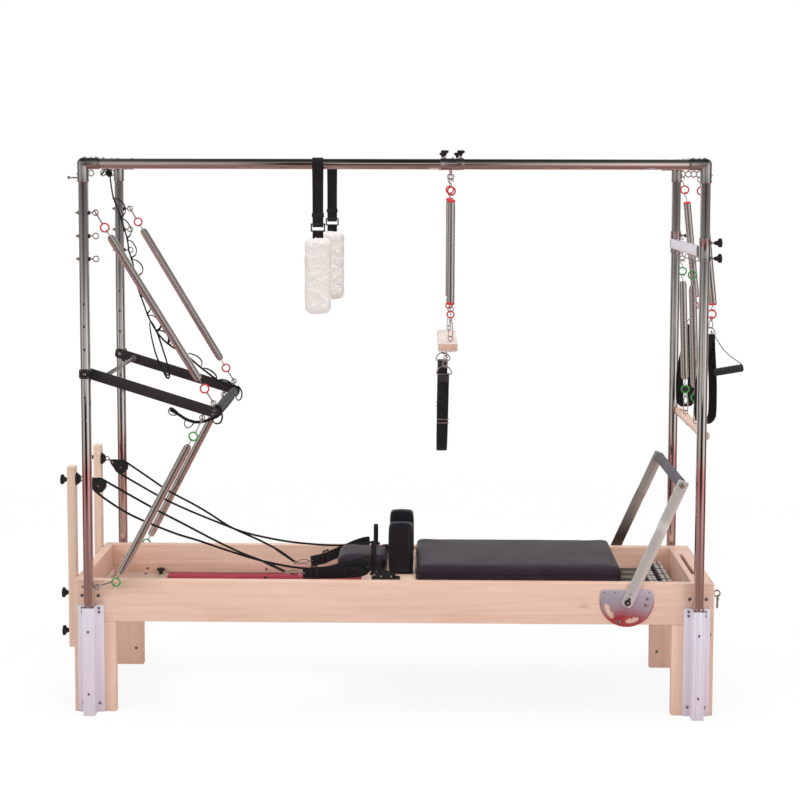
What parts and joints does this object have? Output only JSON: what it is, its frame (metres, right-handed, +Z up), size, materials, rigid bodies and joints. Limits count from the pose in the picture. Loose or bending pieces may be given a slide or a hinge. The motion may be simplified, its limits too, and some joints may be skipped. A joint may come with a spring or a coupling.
{
  "type": "three-in-one pilates reformer",
  "caption": "Wooden reformer bed with sliding carriage inside a full steel tube frame, with push-through bar, trapeze, roll-down bar, springs, ropes and fleece loops.",
  "frame": {"origin": "on the floor, under the middle of the machine's whole length and width", "axes": "+X along the bed towards the foot bar, +Y across the bed to the far side, +Z up"},
  "size_m": [2.61, 0.752, 2.158],
  "materials": {
    "maple": "clear satin lacquer",
    "tube_steel": "polished stainless",
    "extrusion": "satin anodised",
    "plate_steel": "brushed flat bar",
    "black_steel": "black powder coat",
    "black_bar": "black anodised flat bar",
    "black_plastic": "moulded",
    "vinyl": "matt upholstery vinyl",
    "foam_grip": "foam rubber",
    "spring_nickel": "nickel-plated wire",
    "webbing": "woven nylon",
    "rope": "braided polyester",
    "fleece": "curly fleece"
  },
  "bodies": {
    "root": {"side_rail_near": "maple", "side_rail_far": "maple", "end_board_head": "maple", "end_board_foot": "maple", "leg_near_head": "maple", "leg_near_foot": "maple", "leg_far_head": "maple", "leg_far_foot": "maple", "corner_extrusion_near_head": "extrusion", "corner_extrusion_near_foot": "extrusion", "corner_extrusion_far_head": "extrusion", "corner_extrusion_far_foot": "extrusion", "post_near_head": "tube_steel", "post_near_foot": "tube_steel", "post_far_head": "tube_steel", "post_far_foot": "tube_steel", "top_rail_near": "tube_steel", "top_rail_far": "tube_steel", "end_bow_head": "tube_steel", "end_bow_foot": "tube_steel", "track_frame": "black_steel", "riser_near": "maple", "riser_far": "maple", "footbar_plate_near": "plate_steel", "footbar_plate_far": "plate_steel", "carriage_springs": "spring_nickel", "push_spring_top_near": "spring_nickel", "push_spring_top_far": "spring_nickel", "push_spring_low_near": "spring_nickel", "push_spring_low_far": "spring_nickel", "rope_near": "rope", "rope_far": "rope", "stretch_strap": "webbing"},
    "carriage": {"carriage_base": "maple", "carriage_pad": "vinyl", "hand_loop_near": "webbing", "hand_loop_far": "webbing"},
    "headrest": {"headrest": "vinyl"},
    "shoulder_rest_near": {"shoulder_rest_near": "vinyl"},
    "shoulder_rest_far": {"shoulder_rest_far": "vinyl"},
    "wheelset_head": {"wheelset_head": "black_plastic"},
    "wheelset_foot": {"wheelset_foot": "black_plastic"},
    "pulley_near": {"pulley_near": "black_plastic"},
    "pulley_far": {"pulley_far": "black_plastic"},
    "footbar": {"footbar_frame": "plate_steel", "footbar_grip": "foam_grip"},
    "push_bar": {"push_bar": "black_bar"},
    "trapeze_slider": {"trapeze_slider": "tube_steel"},
    "trapeze": {"trapeze_bar": "maple", "trapeze_spring_near": "spring_nickel", "trapeze_spring_far": "spring_nickel", "trapeze_sling": "webbing"},
    "tower_slider": {"tower_slider": "extrusion"},
    "roll_down": {"roll_down_bar": "maple", "roll_down_spring_near": "spring_nickel", "roll_down_spring_far": "spring_nickel"},
    "arm_near": {"arm_spring_near": "spring_nickel"},
    "arm_far": {"arm_spring_far": "spring_nickel"},
    "fleece_near": {"fleece_loop_near": "fleece"},
    "fleece_far": {"fleece_loop_far": "fleece"}
  },
  "joints": [
    {"name": "carriage_slide", "type": "slide", "parent": "root", "child": "carriage", "axis": [-1, 0, 0], "range_m": [0, 0.8], "deforming": ["carriage_springs", "rope_near", "rope_far"]},
    {"name": "headrest_tilt", "type": "hinge", "parent": "carriage", "child": "headrest", "pos_m": [-0.057, 0, 0.556], "axis": [0, 1, 0], "range_deg": [0, 35]},
    {"name": "shoulder_rest_near_lift", "type": "slide", "parent": "carriage", "child": "shoulder_rest_near", "axis": [0, 0, 1], "range_m": [0, 0.06]},
    {"name": "shoulder_rest_far_lift", "type": "slide", "parent": "carriage", "child": "shoulder_rest_far", "axis": [0, 0, 1], "range_m": [0, 0.06]},
    {"name": "wheelset_head_roll", "type": "hinge", "parent": "carriage", "child": "wheelset_head", "pos_m": [0.03, 0, 0.4155], "axis": [0, 1, 0], "range_deg": [-2400, 60]},
    {"name": "wheelset_foot_roll", "type": "hinge", "parent": "carriage", "child": "wheelset_foot", "pos_m": [0.75, 0, 0.4155], "axis": [0, 1, 0], "range_deg": [-2400, 60]},
    {"name": "pulley_near_spin", "type": "hinge", "parent": "root", "child": "pulley_near", "pos_m": [-1.167, -0.24, 0.8673], "axis": [0, 1, 0], "continuous": true},
    {"name": "pulley_far_spin", "type": "hinge", "parent": "root", "child": "pulley_far", "pos_m": [-1.1726, 0.24, 0.8515], "axis": [0, 1, 0], "continuous": true},
    {"name": "footbar_fold", "type": "hinge", "parent": "root", "child": "footbar", "pos_m": [0.864, 0, 0.442], "axis": [0, 1, 0], "range_deg": [-90, 0]},
    {"name": "push_bar_swing", "type": "hinge", "parent": "root", "child": "push_bar", "pos_m": [-1.19, 0, 1.316], "axis": [0, 1, 0], "range_deg": [-60, 45], "stiffness_Nm_per_rad": 60, "springref_deg": -11.46, "deforming": ["push_spring_top_near", "push_spring_top_far", "push_spring_low_near", "push_spring_low_far", "stretch_strap"]},
    {"name": "trapeze_slide", "type": "slide", "parent": "root", "child": "trapeze_slider", "axis": [1, 0, 0], "range_m": [-0.4, 0.75]},
    {"name": "trapeze_swing", "type": "hinge", "parent": "trapeze_slider", "child": "trapeze", "pos_m": [0.188, 0, 2.058], "axis": [0, 1, 0], "range_deg": [-25, 25]},
    {"name": "tower_slide", "type": "slide", "parent": "root", "child": "tower_slider", "axis": [0, 0, 1], "range_m": [-0.45, 0]},
    {"name": "roll_down_swing", "type": "hinge", "parent": "tower_slider", "child": "roll_down", "pos_m": [1.122, 0, 1.733], "axis": [0, 1, 0], "range_deg": [-20, 20]},
    {"name": "arm_near_swing", "type": "hinge", "parent": "root", "child": "arm_near", "pos_m": [1.13, -0.2, 2.058], "axis": [0, 1, 0], "range_deg": [-40, 4]},
    {"name": "arm_far_swing", "type": "hinge", "parent": "root", "child": "arm_far", "pos_m": [1.13, 0.2, 2.058], "axis": [0, 1, 0], "range_deg": [-40, 4]},
    {"name": "fleece_near_swing", "type": "hinge", "parent": "root", "child": "fleece_near", "pos_m": [-0.312, -0.35, 2.106], "axis": [1, 0, 0], "range_deg": [-45, 45]},
    {"name": "fleece_far_swing", "type": "hinge", "parent": "root", "child": "fleece_far", "pos_m": [-0.3, 0.35, 2.106], "axis": [1, 0, 0], "range_deg": [-45, 45]}
  ],
  "couplings": [
    {"joint": "wheelset_head_roll", "follows": "carriage_slide", "rad_per_m": -50},
    {"joint": "wheelset_foot_roll", "follows": "carriage_slide", "rad_per_m": -50}
  ]
}
